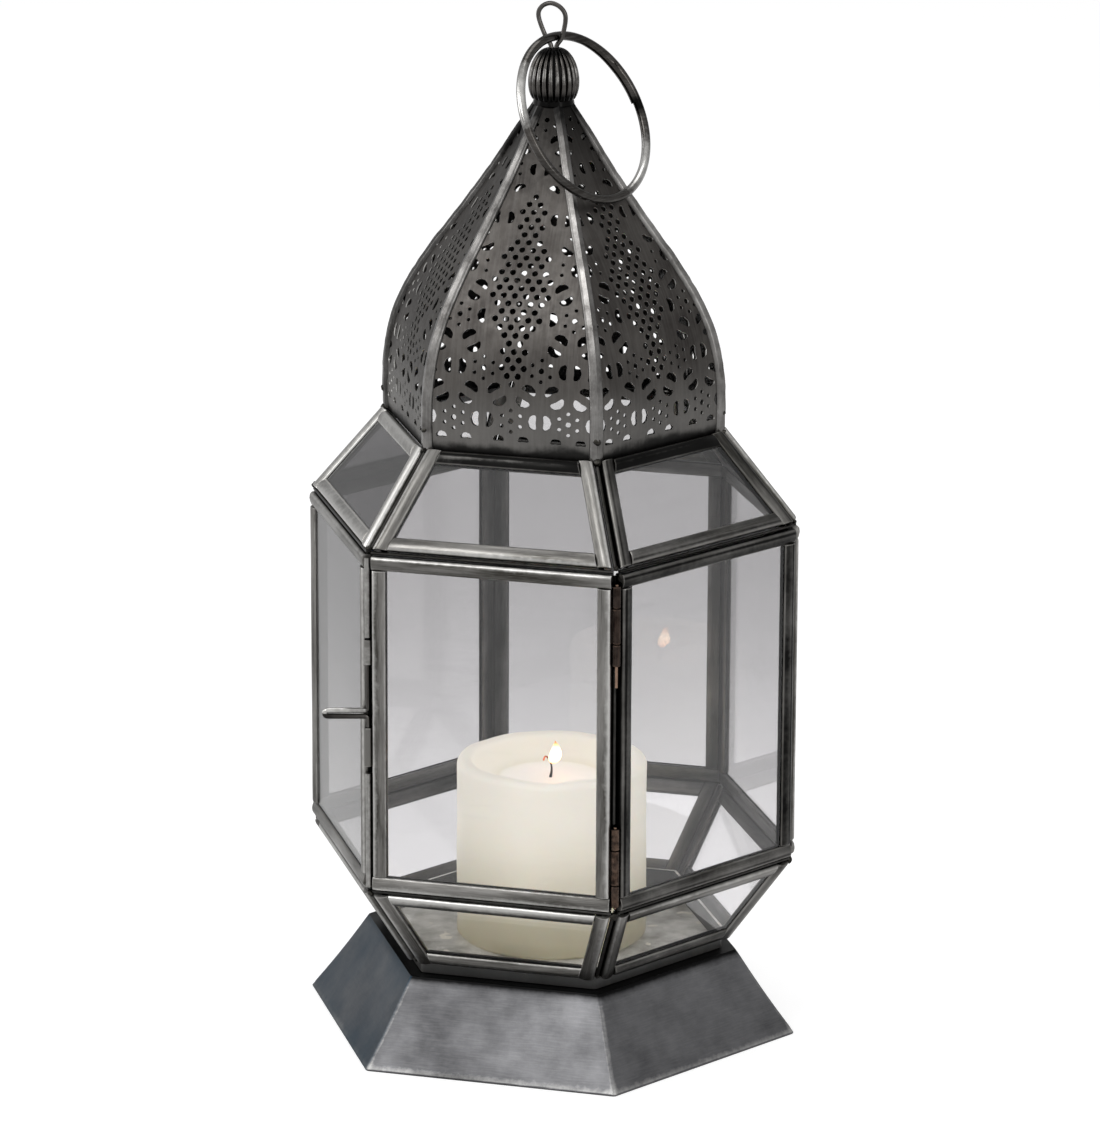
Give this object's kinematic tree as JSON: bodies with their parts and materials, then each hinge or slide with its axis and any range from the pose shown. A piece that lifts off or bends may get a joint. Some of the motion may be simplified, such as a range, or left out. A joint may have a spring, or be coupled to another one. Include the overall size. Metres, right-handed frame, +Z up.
{
  "type": "moroccan candle lantern",
  "caption": "Hexagonal glazed candle lantern with a pierced onion dome, hinged door, turn latch, hanging ring and pillar candle on a flared foot.",
  "frame": {"origin": "middle of the foot's resting face", "axes": "+Z up through the finial, -Y out of the door, +X to the right of someone facing the door"},
  "size_m": [0.1886, 0.1671, 0.3856],
  "materials": {
    "frame_zinc": "satin",
    "dome_zinc": "antiqued satin",
    "rib_zinc": "rubbed satin",
    "foot_zinc": "brushed",
    "floor_zinc": "satin",
    "bright_zinc": "rubbed satin",
    "coppered_pin": "copper-stained",
    "pane_glass": "clear",
    "wax": "waxy",
    "wick_cotton": "charred"
  },
  "bodies": {
    "lantern": {"lower_frame_front": "frame_zinc", "lower_frame_front_right": "frame_zinc", "lower_frame_back_right": "frame_zinc", "lower_frame_back": "frame_zinc", "lower_frame_back_left": "frame_zinc", "lower_frame_front_left": "frame_zinc", "side_frame_front_right": "frame_zinc", "side_frame_back_right": "frame_zinc", "side_frame_back": "frame_zinc", "side_frame_back_left": "frame_zinc", "side_frame_front_left": "frame_zinc", "shoulder_frame_front": "frame_zinc", "shoulder_frame_front_right": "frame_zinc", "shoulder_frame_back_right": "frame_zinc", "shoulder_frame_back": "frame_zinc", "shoulder_frame_back_left": "frame_zinc", "shoulder_frame_front_left": "frame_zinc", "finial_collar": "frame_zinc", "lower_glass_front": "pane_glass", "lower_glass_front_right": "pane_glass", "lower_glass_back_right": "pane_glass", "lower_glass_back": "pane_glass", "lower_glass_back_left": "pane_glass", "lower_glass_front_left": "pane_glass", "side_glass_front_right": "pane_glass", "side_glass_back_right": "pane_glass", "side_glass_back": "pane_glass", "side_glass_back_left": "pane_glass", "side_glass_front_left": "pane_glass", "shoulder_glass_front": "pane_glass", "shoulder_glass_front_right": "pane_glass", "shoulder_glass_back_right": "pane_glass", "shoulder_glass_back": "pane_glass", "shoulder_glass_back_left": "pane_glass", "shoulder_glass_front_left": "pane_glass", "dome_panel_front": "dome_zinc", "dome_panel_front_right": "dome_zinc", "dome_panel_back_right": "dome_zinc", "dome_panel_back": "dome_zinc", "dome_panel_back_left": "dome_zinc", "dome_panel_front_left": "dome_zinc", "dome_rib_right": "rib_zinc", "dome_rib_back_right": "rib_zinc", "dome_rib_back_left": "rib_zinc", "dome_rib_left": "rib_zinc", "dome_rib_front_left": "rib_zinc", "dome_rib_front_right": "rib_zinc", "foot": "foot_zinc", "floor_tray": "floor_zinc", "finial": "bright_zinc", "hanging_eye": "bright_zinc", "hinge_pin_upper": "coppered_pin", "hinge_pin_lower": "coppered_pin"},
    "door": {"door_frame": "frame_zinc", "door_glass": "pane_glass"},
    "latch": {"latch_wire": "bright_zinc"},
    "ring": {"hanging_ring": "bright_zinc"},
    "candle": {"candle": "wax", "wick": "wick_cotton"}
  },
  "joints": [
    {"name": "door_hinge", "type": "hinge", "parent": "lantern", "child": "door", "pos_m": [0.04631, -0.08022, 0.1333], "axis": [0, 0, 1], "range_deg": [0, 150]},
    {"name": "latch_turn", "type": "hinge", "parent": "lantern", "child": "latch", "pos_m": [-0.04631, -0.08022, 0.1365], "axis": [0, 0, 1], "range_deg": [-6, 94]},
    {"name": "ring_swing", "type": "hinge", "parent": "lantern", "child": "ring", "pos_m": [0, 0, 0.37263], "axis": [-0.4067, -0.9135, 0], "range_deg": [0, 300]},
    {"name": "candle_lift", "type": "slide", "parent": "lantern", "child": "candle", "axis": [0, 0, 1], "range_m": [0, 0.06]}
  ]
}
